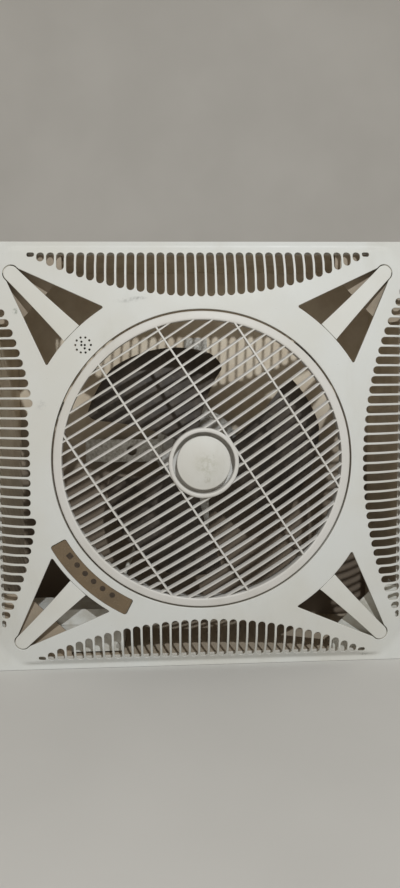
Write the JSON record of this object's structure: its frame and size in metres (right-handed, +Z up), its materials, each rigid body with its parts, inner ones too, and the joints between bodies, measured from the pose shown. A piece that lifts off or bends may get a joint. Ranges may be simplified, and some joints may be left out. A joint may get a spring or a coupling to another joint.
{
  "type": "ceiling circulation fan",
  "caption": "Square ceiling-grid circulation fan: slotted domed fascia, turning round louvre, petal-blade impeller on an induction motor, closed sheet housing with corner hangers.",
  "frame": {"origin": "middle of the footprint on the floor that the fan stands on: middle of the width and of the overall depth, at the lower edge of the fascia", "axes": "+Z up along the fascia, +X to the right seen from the room, +Y from the fascia towards the back of the housing; the fascia looks along -Y and the fan axis is parallel to Y at half the height"},
  "size_m": [0.595, 0.2134, 0.595],
  "materials": {
    "aged_white_abs": "satin moulded plastic, slightly yellowed",
    "louvre_abs": "satin moulded plastic",
    "smoked_lens": "translucent smoked brown, polished",
    "circuit_board": "solder mask",
    "led_epoxy": "clear epoxy",
    "black_plastic": "moulded",
    "zinc_screw": "zinc plated",
    "galvanised_sheet": "galvanised, dusty",
    "white_bracket": "powder coated",
    "motor_shell": "die cast",
    "lamination": "stacked sheet",
    "copper_winding": "enamelled copper",
    "bronze_bush": "sintered bronze",
    "blade_plastic": "dark moulded plastic, dusty",
    "roller_nylon": "nylon",
    "wheel_rubber": "moulded rubber",
    "box_white": "moulded",
    "capacitor_case": "moulded",
    "lead_white": "insulated lead"
  },
  "bodies": {
    "root": {"front_panel": "aged_white_abs", "corner_cover_tl": "aged_white_abs", "corner_cover_tr": "aged_white_abs", "corner_cover_bl": "aged_white_abs", "corner_cover_br": "aged_white_abs", "panel_screws": "zinc_screw", "hanger_bracket_tl": "white_bracket", "hanger_bracket_tr": "white_bracket", "hanger_bracket_bl": "white_bracket", "hanger_bracket_br": "white_bracket", "indicator_lens": "smoked_lens", "indicator_board": "circuit_board", "indicator_leds": "led_epoxy", "infrared_receiver": "black_plastic", "board_screws": "zinc_screw", "buzzer": "black_plastic", "louvre_motor": "motor_shell", "louvre_motor_screws": "zinc_screw", "idler_screws": "zinc_screw", "housing_back": "galvanised_sheet", "housing_top": "galvanised_sheet", "housing_bottom": "galvanised_sheet", "housing_left": "galvanised_sheet", "housing_right": "galvanised_sheet", "bracket_rivets": "zinc_screw", "motor_bracket": "galvanised_sheet", "motor_bracket_screws": "zinc_screw", "rear_bell": "motor_shell", "front_bell": "motor_shell", "rear_bearing": "bronze_bush", "front_bearing": "bronze_bush", "stator_core": "lamination", "stator_windings": "copper_winding", "motor_bolts": "zinc_screw", "control_box": "box_white", "control_box_screws": "zinc_screw", "control_box_lid": "box_white", "lid_screws": "zinc_screw", "control_board": "circuit_board", "run_capacitor": "capacitor_case", "terminal_block": "capacitor_case", "cable_gland": "black_plastic", "gland_nut": "black_plastic", "motor_lead": "lead_white", "indicator_lead": "lead_white"},
    "rotor": {"rotor_core": "lamination", "rotor_shaft": "zinc_screw", "impeller": "blade_plastic", "impeller_nut": "black_plastic"},
    "louvre": {"louvre_disc": "louvre_abs", "louvre_cap": "louvre_abs", "louvre_cap_screw": "zinc_screw"},
    "drive_wheel_body": {"drive_wheel": "wheel_rubber"},
    "idler_left_body": {"idler_left": "roller_nylon"},
    "idler_bottom_body": {"idler_bottom": "roller_nylon"},
    "idler_right_body": {"idler_right": "roller_nylon"}
  },
  "joints": [
    {"name": "rotor_spin", "type": "hinge", "parent": "root", "child": "rotor", "pos_m": [0, 0.0167, 0.2975], "axis": [0, -1, 0], "continuous": true},
    {"name": "louvre_spin", "type": "hinge", "parent": "root", "child": "louvre", "pos_m": [0, -0.0603, 0.2975], "axis": [0, -1, 0], "continuous": true},
    {"name": "drive_wheel_spin", "type": "hinge", "parent": "root", "child": "drive_wheel_body", "pos_m": [0.14871, -0.0603, 0.44621], "axis": [0, -1, 0], "continuous": true},
    {"name": "idler_left_spin", "type": "hinge", "parent": "root", "child": "idler_left_body", "pos_m": [-0.19762, -0.0603, 0.36943], "axis": [0, -1, 0], "continuous": true},
    {"name": "idler_bottom_spin", "type": "hinge", "parent": "root", "child": "idler_bottom_body", "pos_m": [-0.07193, -0.0603, 0.09988], "axis": [0, -1, 0], "continuous": true},
    {"name": "idler_right_spin", "type": "hinge", "parent": "root", "child": "idler_right_body", "pos_m": [0.18213, -0.0603, 0.19235], "axis": [0, -1, 0], "continuous": true}
  ],
  "couplings": [
    {"joint": "drive_wheel_spin", "follows": "louvre_spin", "ratio": -14},
    {"joint": "idler_left_spin", "follows": "louvre_spin", "ratio": -14},
    {"joint": "idler_bottom_spin", "follows": "louvre_spin", "ratio": -14},
    {"joint": "idler_right_spin", "follows": "louvre_spin", "ratio": -14}
  ]
}
